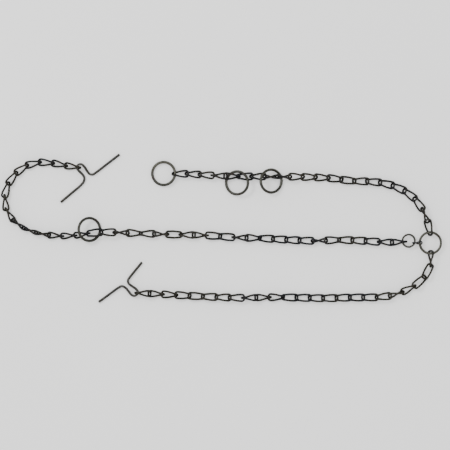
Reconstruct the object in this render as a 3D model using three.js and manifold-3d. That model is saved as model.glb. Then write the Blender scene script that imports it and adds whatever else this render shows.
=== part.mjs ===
// The chain set of a disc golf basket, laid out flat: one joining ring with three strands of
// twisted-link chain, rings on the strands and two bent-wire hooks. Millimetres, +Z up, standing on Z = 0.
import * as THREE from 'three';
import { mergeVertices } from 'three/addons/utils/BufferGeometryUtils.js';
import Module from 'manifold-3d';

const wasm = await Module();
wasm.setup();

// ---- Driving dimensions ----------------------------------------------------------------------

const LINK_WIRE = 3.5; // diameter of the chain's wire
const LINK_INSIDE = 23.2; // inside length of a link
const LINK_WIDTH = 11.2; // width of a link between the centre lines of its two sides
const LINK_CORNER = 3.8; // radius of a link's corners, to the centre line of the wire
const LINK_TWIST = THREE.MathUtils.degToRad(56); // how far a link's end bow is turned from its start bow

const JOINING_RING = { radius: 18.0, wire: 4.1 }; // radius to the wire's centre line, wire diameter
const LARGE_RING = { radius: 19.4, wire: 4.6 };
const SMALL_RING = { radius: 10.5, wire: 3.3 };
const SMALL_RING_HELD = 0.35; // how far round the small ring the short link bears, in radians

const SHORT_LINK_ROLL = -77; // roll of the short link's middle from lying flat, in degrees
const SHORT_LINK = { inside: 13.8, width: 9.2, corner: 3.2, wire: 2.3, twist: THREE.MathUtils.degToRad(-38) };

const HOOK_WIRE = 4.2;
const HOOK_EYE_LIFT = 4.4; // how far a hook's eye lies above its legs' tips

const SWING = 18; // how far a piece may swing each way on its neighbour's wire, in degrees
const GAP = 0.6; // clearance where a ring, hook or short link bears on its neighbour
const BEAD = 1.7; // reach of the bead that holds two links of one node together

const SIDES = 6; // flats round a wire
const LINK_STEPS = 16; // steps round a link: its quarters have four each
const RING_STEPS = 24; // steps round a ring
const HOOK_STEPS = 40; // steps along a hook

const UP = new THREE.Vector3(0, 0, 1);
const ALONG = new THREE.Vector3(1, 0, 0);
const rad = THREE.MathUtils.degToRad;

// ---- Places on the floor, before the whole set is centred ------------------------------------

const JOINING_RING_AT = new THREE.Vector3(354.5, -24.7, 7.0);
const SMALL_RING_HEIGHT = 6.4;

// Each strand starts on its ring. route: way-points [x, y, lift above the floor's rest height];
// rolls: [how many links, the roll of their middles from lying flat, in degrees];
// nodes: how many links each node holds, in order; stops: the swing of a link that meets another piece.
const UPPER = {
  name: 'upper',
  route: [
    [354.3, -9.1, 0], [349.5, 12.5, 0], [340.7, 33.0, 0], [327.7, 50.8, 0], [310.3, 64.0, 0],
    [290.3, 72.8, 0], [269.0, 78.0, 0], [247.5, 79.8, 0], [226.5, 80.0, 0], [206.3, 82.5, 0],
    [185.0, 85.2, 0], [163.4, 86.5, 0], [141.1, 87.2, 2], [118.7, 87.6, 5.5], [96.3, 87.6, 5],
    [73.8, 88.0, 0], [51.1, 88.2, 0], [28.5, 88.0, 2], [6.1, 88.8, 2], [-16.3, 90.0, 0],
    [-59.9, 92.6, 0], [-81.2, 92.6, 0],
  ],
  rolls: [
    [1, -30], [1, 80], [6, 22], [1, -10], [1, -25], [3, -35], [2, 90], [1, 40], [1, 25],
    [1, -48], [1, 60], [3, 40],
  ],
  nodes: [1, 1, 1, 2, 2, 2, 2, 2, 3, 2, 1, 2, 1],
  stops: { 3: [-9, SWING] },
};
const MIDDLE = {
  name: 'middle',
  route: [
    [311.8, -22.6, 0], [290.2, -23.7, 0], [268.4, -23.1, 0], [246.3, -21.5, 0],
    [201.6, -19.6, 0], [157.2, -21.2, 0], [112.2, -19.4, 0], [67.3, -16.8, 0], [22.1, -15.4, 0],
    [-23.2, -12.0, 0], [-68.7, -10.8, 0], [-113.8, -9.5, 0], [-158.8, -7.7, 0],
    [-181.3, -6.8, 3], [-203.9, -6.4, 6], [-226.3, -8.6, 3], [-248.5, -12.1, 0],
    [-271.1, -13.0, 0], [-293.6, -11.4, 0], [-316.2, -7.0, 0], [-337.7, 1.4, 0],
    [-355.4, 15.4, 0], [-366.6, 34.4, 0], [-368.2, 56.6, 0], [-361.0, 78.0, 0],
    [-347.0, 95.8, 0], [-328.3, 108.0, 0], [-306.0, 112.6, 0], [-283.4, 110.2, 0],
    [-262.2, 106.0, 0], [-242.0, 103.2, 0],
  ],
  rolls: [
    [1, -60], [1, 50], [2, 20], [1, 22], [1, -25], [1, 84], [4, 20], [1, -40], [1, 68], [1, 12],
    [1, -12], [1, -60], [1, 50], [1, -5], [1, -76], [1, 36], [1, -35], [1, 80], [1, 25], [1, 10],
    [1, -60], [2, -60], [3, 90], [1, 70], [1, 60], [3, 42], [2, 44], [1, 48], [1, 53],
  ],
  nodes: [1, 2, 2, 2, 2, 2, 2, 2, 2, 2, 2, 2, 2, 2, 1, 1, 1, 1, 1, 1, 1, 2, 2, 1],
  stops: { 30: [-15, SWING], 34: [-15, SWING], 37: [-SWING, 15] },
};
const LOWER = {
  name: 'lower',
  route: [
    [355.4, -40.4, 0], [355.0, -62.4, 0], [345.4, -82.3, 0], [329.0, -97.0, 0],
    [309.3, -107.3, 0], [288.0, -114.2, 0], [265.7, -117.0, 0], [221.3, -117.4, 0],
    [177.1, -118.7, 0], [131.9, -117.7, 0], [85.9, -116.9, 0], [39.2, -118.0, 0],
    [-7.0, -116.8, 0], [-52.8, -114.6, 0], [-98.7, -112.0, 0], [-145.0, -109.6, 0],
  ],
  rolls: [
    [1, 74], [1, 5], [1, -10], [1, -45], [1, -78], [1, 30], [7, 15], [1, -38], [1, -50], [1, 58],
    [2, 30], [1, 20], [1, -10], [1, -20], [1, -40], [1, -50], [1, 60],
  ],
  nodes: [1, 1, 1, 2, 2, 2, 2, 2, 2, 2, 2, 2, 2, 1],
  stops: { 1: [-SWING, 12], 2: [-SWING, 15] },
};

// Rings that lie on the floor: centre of the ring, and how far its +X side is tipped up in degrees.
const END_RING = { at: [-98.5, 93.1], tip: 6 };
const LOOSE_RINGS = [
  { name: 'loose_ring_1', at: [84.15, 80.3], tip: -24, strand: 'upper', link: 15, low: 0, high: 100 },
  { name: 'loose_ring_2', at: [26.3, 77.15], tip: 18, strand: 'upper', link: 17, low: -90, high: 0 },
  { name: 'loose_ring_3', at: [-224.4, -1.9], tip: -24, strand: 'middle', link: 24, low: 0, high: 100 },
];

// Hooks: way-points [x, y] from one leg's tip, round the eye, to the other leg's tip.
const HOOKS = [
  {
    name: 'wire_hook_1',
    strand: 'middle',
    low: -12,
    high: 50,
    path: [
      [-273.4, 44.2], [-253.4, 61.0], [-239.4, 73.0], [-234.4, 79.2], [-233.2, 85.6], [-236.4, 91.6],
      [-241.6, 96.6], [-245.2, 101.6], [-243.6, 107.8], [-237.4, 108.6], [-232.6, 104.0],
      [-228.4, 97.2], [-224.2, 92.2], [-218.6, 91.6], [-211.0, 96.6], [-192.0, 111.2], [-173.4, 125.6],
    ],
  },
  {
    name: 'wire_hook_2',
    strand: 'lower',
    low: -50,
    high: 35,
    path: [
      [-208.9, -125.3], [-191.0, -112.3], [-175.4, -101.0], [-169.4, -98.2], [-163.6, -100.8],
      [-157.6, -107.6], [-153.2, -112.9], [-147.2, -114.6], [-142.0, -109.6], [-144.8, -103.6],
      [-151.6, -98.6], [-157.6, -94.0], [-159.2, -88.6], [-155.8, -83.0], [-146.0, -70.8],
      [-135.2, -57.5],
    ],
  },
];

// ---- Solids -----------------------------------------------------------------------------------

const SET = new THREE.Group();
SET.name = 'basket_chain_set';

function steel(color, roughness) {
  return new THREE.MeshStandardMaterial({ color, roughness, metalness: 0.9 });
}

const CHAIN_STEEL = () => steel(0x3a3934, 0.42);
const RING_STEEL = () => steel(0x4a4941, 0.35);
const HOOK_STEEL = () => steel(0x34332f, 0.5);

// A ring of round wire in the XY plane, as a closed profile turned about the ring's axis.
function ringGeometry({ radius, wire }, steps) {
  const profile = [];
  for (let i = 0; i <= SIDES; i++) {
    const a = (2 * Math.PI * (i + 0.5)) / SIDES;
    profile.push(new THREE.Vector2(radius + (wire / 2) * Math.cos(a), (wire / 2) * Math.sin(a)));
  }
  return new THREE.LatheGeometry(profile, steps).rotateX(Math.PI / 2);
}

// A link along X: a wire ring drawn out into two bows and two sides with rounded corners between,
// then twisted about X, half the twist each way from its middle, which lies in the XY plane. The
// four steps of each quarter are half a bow, a corner in two steps and half a side.
function linkGeometry({ inside, width, corner, wire, twist }) {
  const cornerX = (inside + wire) / 2 - corner; // where the corners are centred
  const cornerY = width / 2 - corner;
  const geometry = ringGeometry({ radius: corner, wire }, LINK_STEPS);
  const place = geometry.attributes.position;
  const twisted = cornerX + corner / 2;
  const vertex = new THREE.Vector3();
  for (let i = 0; i < place.count; i++) {
    vertex.fromBufferAttribute(place, i);
    const step = (LINK_STEPS * Math.atan2(Math.abs(vertex.y), Math.abs(vertex.x))) / (2 * Math.PI);
    const bend = (THREE.MathUtils.clamp(step - 1, 0, 2) * Math.PI) / 4;
    const radius = Math.hypot(vertex.x, vertex.y);
    vertex.x = Math.sign(vertex.x) * (cornerX * Math.min(4 - step, 1) + radius * Math.cos(bend));
    vertex.y = Math.sign(vertex.y) * (cornerY * Math.min(step, 1) + radius * Math.sin(bend));
    vertex.applyAxisAngle(ALONG, twist * (THREE.MathUtils.smoothstep(vertex.x, -twisted, twisted) - 0.5));
    place.setXYZ(i, vertex.x, vertex.y, vertex.z);
  }
  return geometry;
}

function hookGeometry(curve) {
  const section = new THREE.Shape();
  for (let i = 0; i < SIDES; i++) {
    const a = (2 * Math.PI * i) / SIDES;
    section[i ? 'lineTo' : 'moveTo']((HOOK_WIRE / 2) * Math.cos(a), (HOOK_WIRE / 2) * Math.sin(a));
  }
  section.closePath();
  return new THREE.ExtrudeGeometry(section, { steps: HOOK_STEPS, extrudePath: curve, curveSegments: 1 });
}

function solidOf(geometry, matrix) {
  const bare = geometry.clone().applyMatrix4(matrix);
  bare.deleteAttribute('normal');
  bare.deleteAttribute('uv');
  const merged = mergeVertices(bare, 1e-3);
  return new wasm.Manifold(new wasm.Mesh({
    numProp: 3,
    vertProperties: merged.attributes.position.array,
    triVerts: new Uint32Array(merged.index.array),
  }));
}

function geometryOf(solid) {
  const mesh = solid.getMesh();
  const geometry = new THREE.BufferGeometry();
  geometry.setAttribute('position', new THREE.BufferAttribute(mesh.vertProperties, 3));
  geometry.setIndex(new THREE.BufferAttribute(mesh.triVerts, 1));
  geometry.computeVertexNormals();
  return geometry;
}

// Adds a piece. hinge: { parent, pivot, axis, low, high }, in degrees about the axis.
function addPiece(name, geometry, material, matrix, hinge) {
  const mesh = new THREE.Mesh(geometry, material);
  mesh.name = name;
  mesh.applyMatrix4(matrix);
  mesh.userData.hinge = hinge;
  SET.add(mesh);
  return mesh;
}

// ---- Chain ------------------------------------------------------------------------------------

const LINK = linkGeometry({
  inside: LINK_INSIDE,
  width: LINK_WIDTH,
  corner: LINK_CORNER,
  wire: LINK_WIRE,
  twist: LINK_TWIST,
});
const LINK_REACH = (LINK_INSIDE + LINK_WIRE) / 2; // from a link's middle to the wire's centre at its bow

// The roll of link n, from the runs of links that lie alike.
function rollOf(rolls, n) {
  let last = 0;
  return rad(rolls.find(([count]) => (last += count) >= n)[1]);
}

// How far a link's middle lies above the floor when its lowest side rests there: its start bow and its
// end bow stand half the twist either side of the roll.
function restHeight(roll) {
  const steepest = Math.max(...[-0.5, 0, 0.5].map((part) => Math.abs(Math.sin(roll + part * LINK_TWIST))));
  return (LINK_WIRE + LINK_WIDTH * steepest) / 2;
}

// Where the wires of neighbouring links cross: evenly spaced along the route, at the rest height of
// the higher of the two links, and raised by the route's lift.
function crossings({ route, rolls }, count) {
  const curve = new THREE.CatmullRomCurve3(route.map(([x, y, lift]) => new THREE.Vector3(x, y, lift)));
  return curve.getSpacedPoints(count).map((point, i) => {
    const heights = [i, i + 1].filter((n) => n > 0 && n <= count).map((n) => restHeight(rollOf(rolls, n)));
    point.z = Math.max(point.z, 0) + Math.max(...heights);
    return point;
  });
}

// A frame at `middle` with X along the link and Y level, then rolled about X.
function linkMatrix(middle, heading, roll) {
  const side = new THREE.Vector3().crossVectors(UP, heading).normalize();
  const up = new THREE.Vector3().crossVectors(heading, side);
  return new THREE.Matrix4()
    .makeBasis(heading, side, up)
    .multiply(new THREE.Matrix4().makeRotationX(roll))
    .setPosition(middle);
}

// The wire of the bow at -X or +X of a link.
function bowLine(end) {
  const axis = new THREE.Vector3(0, 1, 0).applyAxisAngle(ALONG, (end * LINK_TWIST) / 2);
  return { pivot: new THREE.Vector3(end * LINK_REACH, 0, 0), axis };
}

function layLinks(strand) {
  const count = strand.nodes.reduce((sum, n) => sum + n, 0);
  const points = crossings(strand, count);
  return points.slice(1).map((end, i) => {
    const start = points[i];
    const heading = end.clone().sub(start).normalize();
    const middle = start.clone().add(end).divideScalar(2);
    const matrix = linkMatrix(middle, heading, rollOf(strand.rolls, i + 1));
    return {
      start,
      end,
      matrix,
      startBow: bowLine(-1),
      endBow: bowLine(1),
    };
  });
}

// The wire of one bow as a hinge line: it passes through the bow's crown, along the wire.
function hingeLine(link, bow) {
  return {
    pivot: link[bow].pivot.clone().applyMatrix4(link.matrix),
    axis: link[bow].axis.clone().transformDirection(link.matrix),
  };
}

// Two links of one node meet in a small bead, so that they are one solid.
function joinLinks(links) {
  const bead = new THREE.OctahedronGeometry(BEAD);
  let solid = solidOf(LINK, links[0].matrix);
  for (let i = 1; i < links.length; i++) {
    const at = links[i].matrix.clone().setPosition(links[i].start);
    solid = solid.add(solidOf(LINK, links[i].matrix)).add(solidOf(bead, at));
  }
  return geometryOf(solid);
}

const twoDigits = (n) => String(n).padStart(2, '0');

function nodeName(strand, first, count) {
  const numbers = [first, first + count - 1].slice(0, count).map(twoDigits);
  return `${strand.name}_${count > 1 ? 'links' : 'link'}_${numbers.join('_')}`;
}

// Hangs a strand's nodes on one another. The hinge line is in turn the wire of the link before and
// the wire of the link itself, which cross each other, and the sense of the swing turns over every
// second node, so that a strand with every joint at one limit goes in steps, not in a coil.
function addStrand(strand, rootHinge) {
  const links = layLinks(strand);
  const owner = [];
  let first = 0;
  let parent = rootHinge.parent;
  strand.nodes.forEach((count, k) => {
    const held = links.slice(first, first + count);
    const name = nodeName(strand, first + 1, count);
    let line = rootHinge;
    if (k > 0) line = k % 2 ? hingeLine(links[first], 'startBow') : hingeLine(links[first - 1], 'endBow');
    if (k % 4 > 1) line.axis.negate();
    const [low, high] = strand.stops[first + 1] ?? [-SWING, SWING];
    const hinge = { parent, pivot: line.pivot, axis: line.axis, low, high };
    if (count > 1) addPiece(name, joinLinks(held), CHAIN_STEEL(), new THREE.Matrix4(), hinge);
    else addPiece(name, LINK.clone(), CHAIN_STEEL(), held[0].matrix, hinge);
    held.forEach(() => owner.push(name));
    parent = name;
    first += count;
  });
  return { links, owner, last: parent };
}

// ---- Rings, hooks and the whole set --------------------------------------------------------------

// A ring's frame: level, or tipped about the line along Y through its centre.
function ringMatrix(at, tip = 0) {
  return new THREE.Matrix4().makeRotationY(-rad(tip)).setPosition(at);
}

// The ring's wire as a hinge line, where it lies at `angle` round the ring.
function ringLine({ radius }, matrix, angle) {
  return {
    pivot: new THREE.Vector3(radius * Math.cos(angle), radius * Math.sin(angle), 0).applyMatrix4(matrix),
    axis: new THREE.Vector3(-Math.sin(angle), Math.cos(angle), 0).transformDirection(matrix),
  };
}

function addRing(name, ring, matrix, hinge) {
  addPiece(name, ringGeometry(ring, RING_STEPS), RING_STEEL(), matrix, hinge);
}

function swingOn(parent, line) {
  return { parent, ...line, low: -SWING, high: SWING };
}

const joiningMatrix = ringMatrix(JOINING_RING_AT);
addRing('joining_ring', JOINING_RING, joiningMatrix, null);

// The short link ties the small ring to the joining ring's -X side.
function addShortLink() {
  const reach = (SHORT_LINK.inside + SHORT_LINK.wire) / 2;
  const bearing = (JOINING_RING.wire + SHORT_LINK.wire) / 2 + GAP;
  const heading = new THREE.Vector3(-1, 0, 0);
  const middle = JOINING_RING_AT.clone().add(new THREE.Vector3(bearing - JOINING_RING.radius - reach, 0, 0));
  const matrix = linkMatrix(middle, heading, rad(SHORT_LINK_ROLL));
  const geometry = linkGeometry(SHORT_LINK);
  const line = ringLine(JOINING_RING, joiningMatrix, Math.PI);
  addPiece('short_link', geometry, CHAIN_STEEL(), matrix, swingOn('joining_ring', line));
  return middle.x - reach + (SHORT_LINK.wire + SMALL_RING.wire) / 2 + GAP;
}

// The small ring hangs in the short link by its right side, a little below its middle.
const smallRingRight = addShortLink();
const SMALL_RING_AT = new THREE.Vector3(
  smallRingRight - SMALL_RING.radius * Math.cos(SMALL_RING_HELD),
  JOINING_RING_AT.y + SMALL_RING.radius * Math.sin(SMALL_RING_HELD),
  SMALL_RING_HEIGHT,
);
const smallMatrix = ringMatrix(SMALL_RING_AT);
const smallLine = ringLine(SMALL_RING, smallMatrix, -SMALL_RING_HELD);
addRing('small_ring', SMALL_RING, smallMatrix, swingOn('short_link', smallLine));

const upperLine = ringLine(JOINING_RING, joiningMatrix, Math.PI / 2);
const middleLine = ringLine(SMALL_RING, smallMatrix, Math.PI + SMALL_RING_HELD / 2);
const lowerLine = ringLine(JOINING_RING, joiningMatrix, -Math.PI / 2);
const STRANDS = {
  upper: addStrand(UPPER, { parent: 'joining_ring', ...upperLine }),
  middle: addStrand(MIDDLE, { parent: 'small_ring', ...middleLine }),
  lower: addStrand(LOWER, { parent: 'joining_ring', ...lowerLine }),
};

// The end ring rests on the floor at its -X side and on the last link's lower side at its +X side.
function addEndRing() {
  const height = LARGE_RING.wire / 2 + LARGE_RING.radius * Math.sin(rad(END_RING.tip));
  const matrix = ringMatrix(new THREE.Vector3(...END_RING.at, height), END_RING.tip);
  const line = ringLine(LARGE_RING, matrix, 0);
  addRing('end_ring', LARGE_RING, matrix, { parent: STRANDS.upper.last, ...line, low: -80, high: 80 });
}
addEndRing();

// A loose ring is threaded on a strand: one side lies under the chain, on the floor, and the other over
// it. It can be stood up and laid over the other way, about the line across the chain at its middle.
function addLooseRing({ name, at, tip, strand, link, low, high }) {
  const height = LARGE_RING.wire / 2 + LARGE_RING.radius * Math.sin(rad(Math.abs(tip)));
  const centre = new THREE.Vector3(...at, height);
  const parent = STRANDS[strand].owner[link - 1];
  const hinge = { parent, pivot: centre, axis: new THREE.Vector3(0, 1, 0), low, high };
  addRing(name, LARGE_RING, ringMatrix(centre, tip), hinge);
}
LOOSE_RINGS.forEach(addLooseRing);

// A hook lies with both legs' tips on the floor and its eye raised to the last link's lower side.
function addHook({ name, strand, path, low, high }) {
  const floor = HOOK_WIRE / 2;
  const tips = [path[0], path.at(-1)].map(([x, y]) => new THREE.Vector2(x, y));
  const across = tips[1].clone().sub(tips[0]).normalize();
  const rises = path.map(([x, y]) => Math.abs(across.cross(new THREE.Vector2(x, y).sub(tips[0]))));
  const slope = HOOK_EYE_LIFT / Math.max(...rises);
  const points = path.map(([x, y], i) => new THREE.Vector3(x, y, floor + slope * rises[i]));
  const curve = new THREE.CatmullRomCurve3(points);
  const links = STRANDS[strand].links;
  const line = hingeLine(links.at(-1), 'endBow');
  const hinge = { parent: STRANDS[strand].last, ...line, low, high };
  addPiece(name, hookGeometry(curve), HOOK_STEEL(), new THREE.Matrix4(), hinge);
}
HOOKS.forEach(addHook);

// The origin is on the floor, under the middle of the whole set.
const reach = new THREE.Box3().setFromObject(SET, true);
SET.position.set(-(reach.min.x + reach.max.x) / 2, -(reach.min.y + reach.max.y) / 2, -reach.min.z);

export default SET;
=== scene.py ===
"""The chain set of a disc golf basket, laid out flat: three strands of twisted-link chain on a
joining ring, with rings on the strands and two bent-wire hooks. Metres, in the CAD frame."""
import math

import bpy
import numpy as np
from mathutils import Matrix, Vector


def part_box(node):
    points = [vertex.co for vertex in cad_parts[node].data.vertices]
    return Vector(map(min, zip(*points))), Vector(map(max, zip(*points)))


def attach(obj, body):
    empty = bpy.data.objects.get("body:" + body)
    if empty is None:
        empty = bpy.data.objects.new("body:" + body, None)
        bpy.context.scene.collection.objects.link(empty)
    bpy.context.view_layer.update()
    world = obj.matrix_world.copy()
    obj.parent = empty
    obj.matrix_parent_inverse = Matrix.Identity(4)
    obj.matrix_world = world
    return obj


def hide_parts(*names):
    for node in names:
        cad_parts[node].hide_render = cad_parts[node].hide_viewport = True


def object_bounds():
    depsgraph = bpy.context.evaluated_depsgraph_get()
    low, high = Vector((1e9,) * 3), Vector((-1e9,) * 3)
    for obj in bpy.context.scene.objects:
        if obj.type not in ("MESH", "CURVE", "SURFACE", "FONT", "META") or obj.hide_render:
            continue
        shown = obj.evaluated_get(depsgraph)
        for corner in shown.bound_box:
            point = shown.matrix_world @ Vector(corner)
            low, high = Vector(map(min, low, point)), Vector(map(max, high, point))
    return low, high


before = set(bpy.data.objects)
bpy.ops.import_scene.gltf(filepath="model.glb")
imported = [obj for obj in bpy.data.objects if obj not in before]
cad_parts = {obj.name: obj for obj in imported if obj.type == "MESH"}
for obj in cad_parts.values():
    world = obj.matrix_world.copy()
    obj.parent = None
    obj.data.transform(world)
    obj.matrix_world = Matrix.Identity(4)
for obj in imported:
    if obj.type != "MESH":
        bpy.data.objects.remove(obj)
CAD_BOX = [list(corner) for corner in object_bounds()]

# ---- Dimensions, as in the CAD ------------------------------------------------------------------

LINK_WIRE = 0.0035
LINK_INSIDE = 0.0232
LINK_WIDTH = 0.0112  # between the centre lines of a link's two sides
LINK_CORNER = 0.0038  # radius of a link's corners, to the centre line of the wire
LINK_TWIST = math.radians(56)
SHORT_LINK_TWIST = math.radians(-38)
SHORT_LINK = {"inside": 0.0138, "width": 0.0092, "corner": 0.0032, "wire": 0.0023, "twist": SHORT_LINK_TWIST}
SHORT_LINK_ROLL = math.radians(-77)
JOINING_RING = {"radius": 0.0180, "wire": 0.0041}
LARGE_RING = {"radius": 0.0194, "wire": 0.0046}
SMALL_RING = {"radius": 0.0105, "wire": 0.0033}
HOOK_WIRE = 0.0042
HOOK_EYE_LIFT = 0.0044

# The strands. route: way-points (x, y, lift); rolls: (how many links, the roll of their middles from
# lying flat, in degrees); nodes: how many links each CAD node holds.
UPPER = {
    "name": "upper",
    "route": [
        (0.3543, -0.0091, 0.000), (0.3495, 0.0125, 0.000), (0.3407, 0.0330, 0.000),
        (0.3277, 0.0508, 0.000), (0.3103, 0.0640, 0.000), (0.2903, 0.0728, 0.000),
        (0.2690, 0.0780, 0.000), (0.2475, 0.0798, 0.000), (0.2265, 0.0800, 0.000),
        (0.2063, 0.0825, 0.000), (0.1850, 0.0852, 0.000), (0.1634, 0.0865, 0.000),
        (0.1411, 0.0872, 0.002), (0.1187, 0.0876, 0.005), (0.0963, 0.0876, 0.005),
        (0.0738, 0.0880, 0.000), (0.0511, 0.0882, 0.000), (0.0285, 0.0880, 0.002),
        (0.0061, 0.0888, 0.002), (-0.0163, 0.0900, 0.000), (-0.0599, 0.0926, 0.000),
        (-0.0812, 0.0926, 0.000),
    ],
    "rolls": [
        (1, -30), (1, 80), (6, 22), (1, -10), (1, -25), (3, -35), (2, 90), (1, 40), (1, 25),
        (1, -48), (1, 60), (3, 40),
    ],
    "nodes": [1, 1, 1, 2, 2, 2, 2, 2, 3, 2, 1, 2, 1],
}
MIDDLE = {
    "name": "middle",
    "route": [
        (0.3118, -0.0226, 0.000), (0.2902, -0.0237, 0.000), (0.2684, -0.0231, 0.000),
        (0.2463, -0.0215, 0.000), (0.2016, -0.0196, 0.000), (0.1572, -0.0212, 0.000),
        (0.1122, -0.0194, 0.000), (0.0673, -0.0168, 0.000), (0.0221, -0.0154, 0.000),
        (-0.0232, -0.0120, 0.000), (-0.0687, -0.0108, 0.000), (-0.1138, -0.0095, 0.000),
        (-0.1588, -0.0077, 0.000), (-0.1813, -0.0068, 0.003), (-0.2039, -0.0064, 0.006),
        (-0.2263, -0.0086, 0.003), (-0.2485, -0.0121, 0.000), (-0.2711, -0.0130, 0.000),
        (-0.2936, -0.0114, 0.000), (-0.3162, -0.0070, 0.000), (-0.3377, 0.0014, 0.000),
        (-0.3554, 0.0154, 0.000), (-0.3666, 0.0344, 0.000), (-0.3682, 0.0566, 0.000),
        (-0.3610, 0.0780, 0.000), (-0.3470, 0.0958, 0.000), (-0.3283, 0.1080, 0.000),
        (-0.3060, 0.1126, 0.000), (-0.2834, 0.1102, 0.000), (-0.2622, 0.1060, 0.000),
        (-0.2420, 0.1032, 0.000),
    ],
    "rolls": [
        (1, -60), (1, 50), (2, 20), (1, 22), (1, -25), (1, 84), (4, 20), (1, -40), (1, 68),
        (1, 12), (1, -12), (1, -60), (1, 50), (1, -5), (1, -76), (1, 36), (1, -35), (1, 80),
        (1, 25), (1, 10), (1, -60), (2, -60), (3, 90), (1, 70), (1, 60), (3, 42), (2, 44), (1, 48),
        (1, 53),
    ],
    "nodes": [1, 2, 2, 2, 2, 2, 2, 2, 2, 2, 2, 2, 2, 2, 1, 1, 1, 1, 1, 1, 1, 2, 2, 1],
}
LOWER = {
    "name": "lower",
    "route": [
        (0.3554, -0.0404, 0.000), (0.3550, -0.0624, 0.000), (0.3454, -0.0823, 0.000),
        (0.3290, -0.0970, 0.000), (0.3093, -0.1073, 0.000), (0.2880, -0.1142, 0.000),
        (0.2657, -0.1170, 0.000), (0.2213, -0.1174, 0.000), (0.1771, -0.1187, 0.000),
        (0.1319, -0.1177, 0.000), (0.0859, -0.1169, 0.000), (0.0392, -0.1180, 0.000),
        (-0.0070, -0.1168, 0.000), (-0.0528, -0.1146, 0.000), (-0.0987, -0.1120, 0.000),
        (-0.1450, -0.1096, 0.000),
    ],
    "rolls": [
        (1, 74), (1, 5), (1, -10), (1, -45), (1, -78), (1, 30), (7, 15), (1, -38), (1, -50),
        (1, 58), (2, 30), (1, 20), (1, -10), (1, -20), (1, -40), (1, -50), (1, 60),
    ],
    "nodes": [1, 1, 1, 2, 2, 2, 2, 2, 2, 2, 2, 2, 2, 1],
}

# Rings by CAD node: size, tip of the +X side in degrees, where the weld lies in degrees.
RINGS = {
    "joining_ring": (JOINING_RING, 0.0, 38.0),
    "small_ring": (SMALL_RING, 0.0, 118.0),
    "end_ring": (LARGE_RING, 6.0, 204.0),
    "loose_ring_1": (LARGE_RING, -24.0, 250.0),
    "loose_ring_2": (LARGE_RING, 18.0, 285.0),
    "loose_ring_3": (LARGE_RING, -24.0, 52.0),
}

# The hooks' wires, from one leg's tip round the eye to the other leg's tip.
HOOKS = {
    "wire_hook_1": [
        (-0.2734, 0.0442), (-0.2534, 0.0610), (-0.2394, 0.0730), (-0.2344, 0.0792),
        (-0.2332, 0.0856), (-0.2364, 0.0916), (-0.2416, 0.0966), (-0.2452, 0.1016),
        (-0.2436, 0.1078), (-0.2374, 0.1086), (-0.2326, 0.1040), (-0.2284, 0.0972),
        (-0.2242, 0.0922), (-0.2186, 0.0916), (-0.2110, 0.0966), (-0.1920, 0.1112),
        (-0.1734, 0.1256),
    ],
    "wire_hook_2": [
        (-0.2089, -0.1253), (-0.1910, -0.1123), (-0.1754, -0.1010), (-0.1694, -0.0982),
        (-0.1636, -0.1008), (-0.1576, -0.1076), (-0.1532, -0.1129), (-0.1472, -0.1146),
        (-0.1420, -0.1096), (-0.1448, -0.1036), (-0.1516, -0.0986), (-0.1576, -0.0940),
        (-0.1592, -0.0886), (-0.1558, -0.0830), (-0.1460, -0.0708), (-0.1352, -0.0575),
    ],
}

# ---- Camera -------------------------------------------------------------------------------------

VIEW_WIDTH = 0.765  # of the floor, across the picture
VIEW_MIDDLE = (0.0060, 0.0055)
CAMERA_HEIGHT = 6.0
SENSOR = 36.0  # mm


def add_camera():
    data = bpy.data.cameras.new("camera")
    data.sensor_width = SENSOR
    data.lens = SENSOR * CAMERA_HEIGHT / VIEW_WIDTH
    data.clip_end = 50
    camera = bpy.data.objects.new("camera", data)
    camera.location = (*VIEW_MIDDLE, CAMERA_HEIGHT)
    bpy.context.scene.collection.objects.link(camera)
    bpy.context.scene.camera = camera


# ---- Node trees ---------------------------------------------------------------------------------


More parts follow.
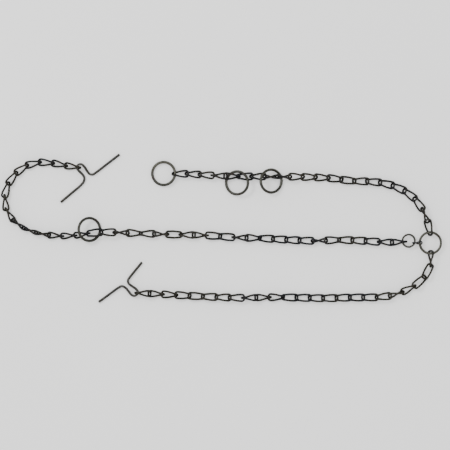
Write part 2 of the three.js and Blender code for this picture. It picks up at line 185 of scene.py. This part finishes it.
class Nodes:
    """A material's node tree, with short calls to add and link nodes."""

    def __init__(self, name):
        self.material = bpy.data.materials.new(name)
        self.material.use_nodes = True
        self.tree = self.material.node_tree
        self.tree.nodes.clear()
        self.shader = self.add("ShaderNodeBsdfPrincipled")
        output = self.add("ShaderNodeOutputMaterial")
        self.link(self.shader.outputs["BSDF"], output.inputs["Surface"])

    def add(self, kind, **settings):
        node = self.tree.nodes.new(kind)
        for key, value in settings.items():
            setattr(node, key, value)
        return node

    def link(self, source, target):
        self.tree.links.new(source, target)

    def place(self):
        return self.add("ShaderNodeTexCoord").outputs["Object"]

    def attribute(self, name, output="Fac"):
        return self.add("ShaderNodeAttribute", attribute_name=name).outputs[output]

    def noise(self, vector, scale, detail=3.0, roughness=0.5):
        node = self.add("ShaderNodeTexNoise")
        node.inputs["Scale"].default_value = scale
        node.inputs["Detail"].default_value = detail
        node.inputs["Roughness"].default_value = roughness
        self.link(vector, node.inputs["Vector"])
        return node.outputs["Fac"]

    def stretch(self, vector, scale):
        node = self.add("ShaderNodeMapping")
        node.inputs["Scale"].default_value = scale
        self.link(vector, node.inputs["Vector"])
        return node.outputs["Vector"]

    def remap(self, value, low, high, to_low=0.0, to_high=1.0):
        node = self.add("ShaderNodeMapRange")
        self.link(value, node.inputs["Value"])
        for name, number in zip(("From Min", "From Max", "To Min", "To Max"), (low, high, to_low, to_high)):
            node.inputs[name].default_value = number
        return node.outputs["Result"]

    def math(self, operation, first, second):
        node = self.add("ShaderNodeMath", operation=operation)
        for socket, value in zip(node.inputs, (first, second)):
            if isinstance(value, (int, float)):
                socket.default_value = value
            else:
                self.link(value, socket)
        return node.outputs["Value"]

    def mix(self, factor, first, second):
        node = self.add("ShaderNodeMix", data_type="RGBA")
        self.link(factor, node.inputs["Factor"])
        for name, value in (("A", first), ("B", second)):
            socket = [s for s in node.inputs if s.name == name and s.type == "RGBA"][0]
            if isinstance(value, tuple):
                socket.default_value = (*value, 1.0)
            else:
                self.link(value, socket)
        return [s for s in node.outputs if s.type == "RGBA"][0]

    def bump(self, height, distance, strength, normal=None):
        node = self.add("ShaderNodeBump")
        node.inputs["Distance"].default_value = distance
        node.inputs["Strength"].default_value = strength
        self.link(height, node.inputs["Height"])
        if normal is not None:
            self.link(normal, node.inputs["Normal"])
        return node.outputs["Normal"]


SCORCHED = (0.045, 0.036, 0.030)
REFLECTION_LEVEL = 0.15
REFLECTION_TINT = (0.08, 0.08, 0.08, 1.0)
LINE_DEPTH = 0.00004
PIT_DEPTH = 0.00005


def steel(name, tones, bare, roughness, metal):
    """Dark drawn steel wire: two tones in long patches, fine mottle and drawn lines, bare and
    smoother where pieces rub, scorched and duller at the weld."""
    nodes = Nodes(name)
    place = nodes.place()
    along = nodes.attribute("wire", "Vector")
    patches = nodes.remap(nodes.noise(place, 11.0, 2.0), 0.42, 0.60)
    mottle = nodes.noise(place, 620.0, 5.0, 0.6)
    lines = nodes.noise(nodes.stretch(along, (2600.0, 2600.0, 70.0)), 1.0, 3.0)
    dull = nodes.noise(place, 140.0, 3.0)

    tone = nodes.mix(patches, *tones)
    dark = tuple(0.55 * c for c in tones[0])
    tone = nodes.mix(nodes.remap(mottle, 0.35, 0.75, 0.0, 0.55), tone, dark)
    rubbed = nodes.math("MULTIPLY", nodes.attribute("rub"), nodes.remap(mottle, 0.38, 0.62))
    tone = nodes.mix(rubbed, tone, bare)
    drawn = nodes.math("MULTIPLY", nodes.remap(lines, 0.62, 0.78, 0.0, 0.5), nodes.remap(dull, 0.4, 0.7))
    tone = nodes.mix(drawn, tone, bare)
    weld = nodes.attribute("weld")
    scorch = nodes.math("MULTIPLY", weld, nodes.remap(mottle, 0.3, 0.7, 0.5, 1.0))
    tone = nodes.mix(scorch, tone, SCORCHED)
    nodes.link(tone, nodes.shader.inputs["Base Color"])

    spread = nodes.remap(dull, 0.3, 0.7, roughness - 0.09, roughness + 0.12)
    smoothed = nodes.math("SUBTRACT", spread, nodes.math("MULTIPLY", rubbed, 0.12))
    rough = nodes.math("ADD", smoothed, nodes.math("MULTIPLY", weld, 0.2))
    nodes.link(rough, nodes.shader.inputs["Roughness"])
    nodes.shader.inputs["Metallic"].default_value = metal
    nodes.shader.inputs["Specular IOR Level"].default_value = REFLECTION_LEVEL
    nodes.shader.inputs["Specular Tint"].default_value = REFLECTION_TINT

    relief = nodes.bump(lines, LINE_DEPTH, 0.5)
    pits = nodes.noise(place, 1900.0, 4.0, 0.65)
    relief = nodes.bump(pits, PIT_DEPTH, 0.35, relief)
    nodes.link(relief, nodes.shader.inputs["Normal"])
    return nodes.material


# ---- Wire ---------------------------------------------------------------------------------------


def wire_mesh(name, rings, closed, marks, material):
    """A mesh from rings of points, (rings, points, 3): closed on itself, or with rounded-off ends.
    Nothing reaches beyond the CAD's box: a weld's flash is flattened where it would."""
    rings = np.clip(rings, *CAD_BOX)
    count, sides = rings.shape[:2]
    faces = []
    for i in range(count if closed else count - 1):
        j = (i + 1) % count
        for k in range(sides):
            m = (k + 1) % sides
            faces.append((i * sides + k, i * sides + m, j * sides + m, j * sides + k))
    if not closed:
        faces.append(tuple(range(sides))[::-1])
        faces.append(tuple((count - 1) * sides + k for k in range(sides)))
    mesh = bpy.data.meshes.new(name)
    mesh.from_pydata(rings.reshape(-1, 3).tolist(), [], faces)
    for key, values in marks.items():
        vector = values.ndim == 3
        layer = mesh.attributes.new(key, "FLOAT_VECTOR" if vector else "FLOAT", "POINT")
        layer.data.foreach_set("vector" if vector else "value", values.ravel().astype(np.float32))
    mesh.polygons.foreach_set("use_smooth", [True] * len(mesh.polygons))
    mesh.validate()
    mesh.materials.append(material)
    piece = bpy.data.objects.new(name, mesh)
    bpy.context.scene.collection.objects.link(piece)
    return piece


def stand_for(piece, node):
    """The piece moves with the CAD node's body and replaces the node."""
    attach(piece, node)
    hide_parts(node)


def section_marks(offset, up, along, weld, rub):
    """The point attributes that the materials read: place on the wire, and the two masks."""
    return {"wire": np.stack([offset, up, along], axis=2), "weld": weld, "rub": rub}


def hump(value, width):
    return np.exp(-((value / width) ** 2))


def smoothstep(value, low, high):
    t = np.clip((value - low) / (high - low), 0.0, 1.0)
    return t * t * (3 - 2 * t)


# ---- Links --------------------------------------------------------------------------------------

LINK_STEPS = 88
LINK_SIDES = 18
SHORT_LINK_STEPS = 64

# What sets a link apart from its fellows and from a clean bend: its weld, its wear and its errors.
COLLAR_SWELL = (0.03, 0.09)  # of the wire's radius, at the weld
COLLAR_LENGTH = 0.0009  # along the wire, as are the lengths below
NECK_SHRINK = 0.03  # of the wire's radius, beside the collar
NECK_FROM_WELD = 0.0021
NECK_LENGTH = 0.0006
FLASH_HEIGHT = (0.00003, 0.00015)
FLASH_LENGTH = 0.00055
FLASH_SPREAD = 0.55  # radians round the wire
WEAR_DEPTH = 0.00014  # worn off the inside of a bow's crown
WEAR_REACH = 0.0022  # across the bow
SCORCH_LENGTH = 0.0022
LEAN = 0.006  # how far a link may be skewed, as a slope
NARROWING = 0.02  # how much narrower than its fellows it may be
TWIST_SPREAD = 0.012  # radians either way

FIRST_SEED = 130
SEEDS_PER_STRAND = 100
SHORT_LINK_SEED = 7


def link_rings(inside, width, corner, wire, twist, rng, steps=LINK_STEPS, sides=LINK_SIDES):
    """A link along X, its middle in the XY plane and half the twist each way from it: points and marks.
    The weld is at the middle of the +Y side, with a low collar and a spur of flash."""
    corner_x = (inside + wire) / 2 - corner
    corner_y = width / 2 - corner
    quarter = corner * math.pi / 2
    bow_start = corner_x + quarter
    bow_end = bow_start + 2 * corner_y
    half = bow_end + bow_start
    length = 2 * half
    s = np.arange(steps) * length / steps
    t = np.mod(s, half)
    bent = np.clip((t - corner_x) / corner, 0, math.pi / 2) + np.clip((t - bow_end) / corner, 0, math.pi / 2)
    out_x, out_y = np.sin(bent), np.cos(bent)
    x = np.minimum(t, corner_x) - np.clip(t - bow_end - quarter, 0, corner_x) + corner * out_x
    y = corner_y - np.clip(t - bow_start, 0, 2 * corner_y) + corner * out_y
    sign = np.where(s < half, 1.0, -1.0)
    x, y, out_x, out_y = sign * x, sign * y, sign * out_x, sign * out_y

    around = np.arange(sides) * 2 * math.pi / sides
    radius = np.full((steps, sides), wire / 2)
    from_weld = np.minimum(s, length - s)[:, None]
    spur = rng.uniform(0, 2 * math.pi)
    turn = np.abs(np.angle(np.exp(1j * (around - spur))))[None, :]
    collar = rng.uniform(*COLLAR_SWELL) * hump(from_weld, COLLAR_LENGTH)
    radius *= 1 + collar - NECK_SHRINK * hump(from_weld - NECK_FROM_WELD, NECK_LENGTH)
    radius += rng.uniform(*FLASH_HEIGHT) * hump(from_weld, FLASH_LENGTH) * hump(turn, FLASH_SPREAD)
    inner = np.clip(-np.cos(around), 0.0, 1.0)[None, :] ** 2
    crown = (hump(y, WEAR_REACH) * (np.abs(x) > corner_x))[:, None]
    radius -= WEAR_DEPTH * crown * inner

    offset = radius * np.cos(around)[None, :]
    up = radius * np.sin(around)[None, :]
    lean = rng.uniform(-LEAN, LEAN)
    wide = 1 - rng.uniform(0.0, NARROWING)
    px = x[:, None] + out_x[:, None] * offset
    py = (y[:, None] + out_y[:, None] * offset) * wide + lean * px
    twisted = corner_x + corner / 2
    angle = (twist + rng.uniform(-TWIST_SPREAD, TWIST_SPREAD)) * (smoothstep(px, -twisted, twisted) - 0.5)
    twisted_y = py * np.cos(angle) - up * np.sin(angle)
    twisted_z = py * np.sin(angle) + up * np.cos(angle)
    points = np.stack([px, twisted_y, twisted_z], axis=2)
    along = np.repeat(s[:, None], sides, axis=1)
    weld = hump(from_weld, SCORCH_LENGTH) * np.ones((1, sides))
    rub = crown * (0.35 + 0.65 * inner)
    return points, section_marks(offset, up, along, weld, rub)


def roll_of(rolls, number):
    """The roll of a link, from the runs of links that lie alike."""
    run_ends = np.cumsum([count for count, _ in rolls])
    return math.radians(rolls[int(np.searchsorted(run_ends, number))][1])


def rest_height(roll):
    steepest = max(abs(math.sin(roll + part * LINK_TWIST)) for part in (-0.5, 0, 0.5))
    return (LINK_WIRE + LINK_WIDTH * steepest) / 2


def curve_through(points, samples=40):
    """A centripetal Catmull-Rom curve through the points, as a fine polyline."""
    pts = np.array(points, float)
    pts = np.vstack([2 * pts[0] - pts[1], pts, 2 * pts[-1] - pts[-2]])
    t = np.linspace(0, 1, samples, endpoint=False)[:, None]
    out = []
    for a, b, c, d in zip(pts, pts[1:], pts[2:], pts[3:]):
        da, db, dc = (math.sqrt(np.linalg.norm(q - p)) for p, q in ((a, b), (b, c), (c, d)))
        start = db * ((b - a) / da - (c - a) / (da + db) + (c - b) / db)
        end = db * ((c - b) / db - (d - b) / (db + dc) + (d - c) / dc)
        square = 3 * (c - b) - 2 * start - end
        cube = 2 * (b - c) + start + end
        out.append(b + start * t + square * t**2 + cube * t**3)
    return np.vstack([*out, pts[-2:-1]])


def spaced(line, count):
    """count + 1 points at even distances along a polyline."""
    steps = np.linalg.norm(np.diff(line, axis=0), axis=1)
    reached = np.concatenate([[0.0], np.cumsum(steps)])
    at = np.linspace(0, reached[-1], count + 1)
    return np.stack([np.interp(at, reached, line[:, i]) for i in range(line.shape[1])], axis=1)


def crossings(strand):
    """Where the wires of neighbouring links cross, from the strand's ring to its end."""
    count = sum(strand["nodes"])
    points = spaced(curve_through(strand["route"]), count)
    heights = [0.0] + [rest_height(roll_of(strand["rolls"], n)) for n in range(1, count + 1)] + [0.0]
    for i, point in enumerate(points):
        point[2] = max(point[2], 0.0) + max(heights[i], heights[i + 1])
    return points + LAYOUT_SHIFT


def turned(points, middle, heading, roll):
    """Local points of a link, placed at its middle, along its heading and rolled about it."""
    side = np.cross((0, 0, 1), heading)
    side /= np.linalg.norm(side)
    up = np.cross(heading, side)
    rolled_side = math.cos(roll) * side + math.sin(roll) * up
    rolled_up = math.cos(roll) * up - math.sin(roll) * side
    return middle + points @ np.array([heading, rolled_side, rolled_up])


def node_of_link(strand):
    """The CAD node of each link, in order."""
    owners = []
    for count in strand["nodes"]:
        first = len(owners) + 1
        last = first + count - 1
        span = f"links_{first:02d}_{last:02d}" if count > 1 else f"link_{first:02d}"
        owners += [f"{strand['name']}_{span}"] * count
    return owners


def lay_strand(strand, seed, material):
    points = crossings(strand)
    for i, node in enumerate(node_of_link(strand)):
        rng = np.random.default_rng(seed + i)
        local, marks = link_rings(LINK_INSIDE, LINK_WIDTH, LINK_CORNER, LINK_WIRE, LINK_TWIST, rng)
        start, end = points[i], points[i + 1]
        heading = (end - start) / np.linalg.norm(end - start)
        if rng.random() < 0.5:
            local = local * np.array([1, -1, -1])
        rings = turned(local, (start + end) / 2, heading, roll_of(strand["rolls"], i + 1))
        link = wire_mesh(f"{strand['name']}_twist_link_{i + 1:02d}", rings, True, marks, material)
        stand_for(link, node)


def lay_short_link(material):
    """The short link, at the middle of its CAD node."""
    low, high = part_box("short_link")
    rng = np.random.default_rng(SHORT_LINK_SEED)
    local, marks = link_rings(rng=rng, steps=SHORT_LINK_STEPS, **SHORT_LINK)
    rings = turned(local, np.array((low + high) / 2), np.array((-1.0, 0.0, 0.0)), SHORT_LINK_ROLL)
    stand_for(wire_mesh("short_twist_link", rings, True, marks, material), "short_link")


# ---- Rings --------------------------------------------------------------------------------------

RING_STEPS = 160
RING_SIDES = 24
RING_FLASH_HEIGHT = 0.00016
RING_FLASH_LENGTH = 0.0008
RING_FLASH_SPREAD = 0.8  # radians round the wire
GRIND_DEPTH = 0.00010  # ground off beside the weld
GRIND_FROM_WELD = 0.0019
GRIND_LENGTH = 0.0007
OUT_OF_ROUND = 0.00006
RING_SCORCH_LENGTH = 0.0026
RUBBED_PLACES = 3  # round a ring


def lay_ring(node, size, tip, weld_at, material):
    """A welded ring: very slightly out of round, with a ground weld and rubbed where it is pulled."""
    low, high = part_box(node)
    middle = np.array((low + high) / 2)
    rng = np.random.default_rng(int(weld_at))
    round_angle = np.arange(RING_STEPS) * 2 * math.pi / RING_STEPS
    around = np.arange(RING_SIDES) * 2 * math.pi / RING_SIDES
    turn = np.abs(np.angle(np.exp(1j * (round_angle - math.radians(weld_at)))))
    from_weld = turn[:, None] * size["radius"]
    wire = np.full((RING_STEPS, RING_SIDES), size["wire"] / 2)
    spur = np.abs(np.angle(np.exp(1j * (around - rng.uniform(2, 4)))))[None, :]
    flash = RING_FLASH_HEIGHT * hump(from_weld, RING_FLASH_LENGTH) * hump(spur, RING_FLASH_SPREAD)
    wire += flash - GRIND_DEPTH * hump(from_weld - GRIND_FROM_WELD, GRIND_LENGTH)
    out_of_round = OUT_OF_ROUND * (1 + np.cos(2 * (round_angle - rng.uniform(0, 3))))[:, None] / 2
    offset = wire * np.cos(around)[None, :]
    up = wire * np.sin(around)[None, :]
    reach = size["radius"] - out_of_round + offset
    x, y = reach * np.cos(round_angle)[:, None], reach * np.sin(round_angle)[:, None]
    local = np.stack([x, y, up], axis=2)
    tilt = math.radians(tip)
    cosine, sine = math.cos(tilt), math.sin(tilt)
    tipped = np.array([[cosine, 0, sine], [0, 1, 0], [-sine, 0, cosine]])
    inner = np.clip(-np.cos(around), 0, 1)[None, :] ** 2
    along = np.repeat((round_angle * size["radius"])[:, None], RING_SIDES, axis=1)
    weld = hump(from_weld, RING_SCORCH_LENGTH) * np.ones((1, RING_SIDES))
    rub = inner * (0.5 + 0.5 * np.cos(RUBBED_PLACES * round_angle))[:, None]
    marks = section_marks(offset, up, along, weld, rub)
    piece = wire_mesh(f"{node}_wire", middle + local @ tipped, True, marks, material)
    stand_for(piece, node)


# ---- Hooks --------------------------------------------------------------------------------------

HOOK_STEPS = 260
HOOK_SIDES = 20
CUT_ROUND = 0.0005  # how far the sheared ends are rounded off
CUT_NARROWING = 0.35  # how much of the section the rounding takes off at the cut
CUT_BARE_LENGTH = 0.0006
FLATTENING = 0.07  # of the wire's width, at a full bend
FULL_BEND = 200.0  # curvature at which the wire is flattened most, per metre
BARE_BEND = 250.0  # curvature at which the finish is rubbed off, per metre


def hook_line(path):
    """The hook's centre line: both tips on the floor, the rest raised as it leaves the tips' line."""
    flat = np.array(path)
    across = (flat[-1] - flat[0]) / np.linalg.norm(flat[-1] - flat[0])
    away = flat - flat[0]
    rises = np.abs(across[0] * away[:, 1] - across[1] * away[:, 0])
    heights = HOOK_WIRE / 2 + HOOK_EYE_LIFT * rises / rises.max()
    return spaced(curve_through(np.column_stack([flat, heights]) + LAYOUT_SHIFT), HOOK_STEPS)


def lay_hook(node, path, material):
    """Round wire bent by hand: a little flattened at the bends, with nipped, rounded-off ends."""
    line = hook_line(path)
    heading = np.gradient(line, axis=0)
    heading /= np.linalg.norm(heading, axis=1)[:, None]
    side = np.cross((0, 0, 1), heading)
    side /= np.linalg.norm(side, axis=1)[:, None]
    upward = np.cross(heading, side)
    step = np.linalg.norm(line[1] - line[0])
    bend = np.linalg.norm(np.gradient(heading, axis=0), axis=1) / step
    flattened = FLATTENING * np.clip(bend / FULL_BEND, 0.0, 1.0)[:, None]
    along = np.arange(len(line)) * step
    from_end = np.minimum(along, along[-1] - along)[:, None]
    ends = np.sqrt(np.clip(1 - (1 - np.clip(from_end / CUT_ROUND, 0, 1)) ** 2 * CUT_NARROWING, 0, 1))
    around = np.arange(HOOK_SIDES) * 2 * math.pi / HOOK_SIDES
    wire = HOOK_WIRE / 2 * ends
    offset = wire * (1 - flattened) * np.cos(around)[None, :]
    up = wire * np.sin(around)[None, :]
    rings = line[:, None, :] + offset[:, :, None] * side[:, None, :] + up[:, :, None] * upward[:, None, :]
    weld = np.zeros_like(offset)
    bent = np.clip(bend / BARE_BEND, 0, 1)[:, None]
    rub = np.clip(hump(from_end, CUT_BARE_LENGTH) + 0.5 * bent, 0, 1) * np.ones_like(offset)
    marks = section_marks(offset, up, np.repeat(along[:, None], HOOK_SIDES, axis=1), weld, rub)
    piece = wire_mesh(f"{node}_bent_wire", rings, False, marks, material)
    stand_for(piece, node)


# ---- Floor and light ----------------------------------------------------------------------------

FLOOR_REACH = 6.0
FLOOR_DROP = 0.0002  # below the pieces, so that they don't share a face with it
FLOOR_TONES = ((0.93, 0.93, 0.925), (0.95, 0.95, 0.945))


def add_floor():
    mesh = bpy.data.meshes.new("floor")
    corners = [(x * FLOOR_REACH, y * FLOOR_REACH, 0) for x, y in ((-1, -1), (1, -1), (1, 1), (-1, 1))]
    mesh.from_pydata(corners, [], [(0, 1, 2, 3)])
    floor = bpy.data.objects.new("floor", mesh)
    floor.location.z = -FLOOR_DROP
    nodes = Nodes("floor_paint")
    shade = nodes.remap(nodes.noise(nodes.place(), 2.0, 2.0), 0.3, 0.7)
    nodes.link(nodes.mix(shade, *FLOOR_TONES), nodes.shader.inputs["Base Color"])
    nodes.shader.inputs["Roughness"].default_value = 0.9
    mesh.materials.append(nodes.material)
    bpy.context.scene.collection.objects.link(floor)


def add_light(name, place, size, power):
    """A soft round light aimed at the set."""
    data = bpy.data.lights.new(name, "AREA")
    data.shape = "DISK"
    data.size = size
    data.energy = power
    light = bpy.data.objects.new(name, data)
    light.location = place
    light.rotation_euler = (-Vector(place)).to_track_quat("-Z", "Y").to_euler()
    bpy.context.scene.collection.objects.link(light)


def add_sky(strength):
    world = bpy.data.worlds.new("studio")
    world.use_nodes = True
    background = world.node_tree.nodes["Background"]
    background.inputs["Color"].default_value = (1.0, 1.0, 1.0, 1.0)
    background.inputs["Strength"].default_value = strength
    bpy.context.scene.world = world


# ---- The set ------------------------------------------------------------------------------------

JOINING_RING_LAID = np.array((0.3545, -0.0247, 0.0070))
LAYOUT_SHIFT = np.array(sum(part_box("joining_ring"), Vector())) / 2 - JOINING_RING_LAID

add_camera()
add_floor()
add_sky(1.2)
add_light("overhead", (0.2, 0.4, 5.0), 1.0, 80)
add_light("soft_left", (-1.8, 1.4, 2.6), 1.0, 45)

CHAIN_TONES = ((0.034, 0.032, 0.026), (0.018, 0.019, 0.022))
RING_TONES = ((0.072, 0.070, 0.057), (0.046, 0.046, 0.040))
HOOK_TONES = ((0.042, 0.040, 0.035), (0.033, 0.033, 0.032))
chain_steel = steel("chain_steel", CHAIN_TONES, (0.13, 0.127, 0.115), 0.40, 0.85)
ring_steel = steel("ring_steel", RING_TONES, (0.19, 0.186, 0.165), 0.34, 0.9)
hook_steel = steel("hook_steel", HOOK_TONES, (0.18, 0.18, 0.17), 0.44, 0.8)

for strand_number, strand in enumerate((UPPER, MIDDLE, LOWER)):
    lay_strand(strand, FIRST_SEED + SEEDS_PER_STRAND * strand_number, chain_steel)
lay_short_link(chain_steel)
for ring_node, (ring_size, ring_tip, ring_weld) in RINGS.items():
    lay_ring(ring_node, ring_size, ring_tip, ring_weld, ring_steel)
for hook_node, hook_path in HOOKS.items():
    lay_hook(hook_node, hook_path, hook_steel)
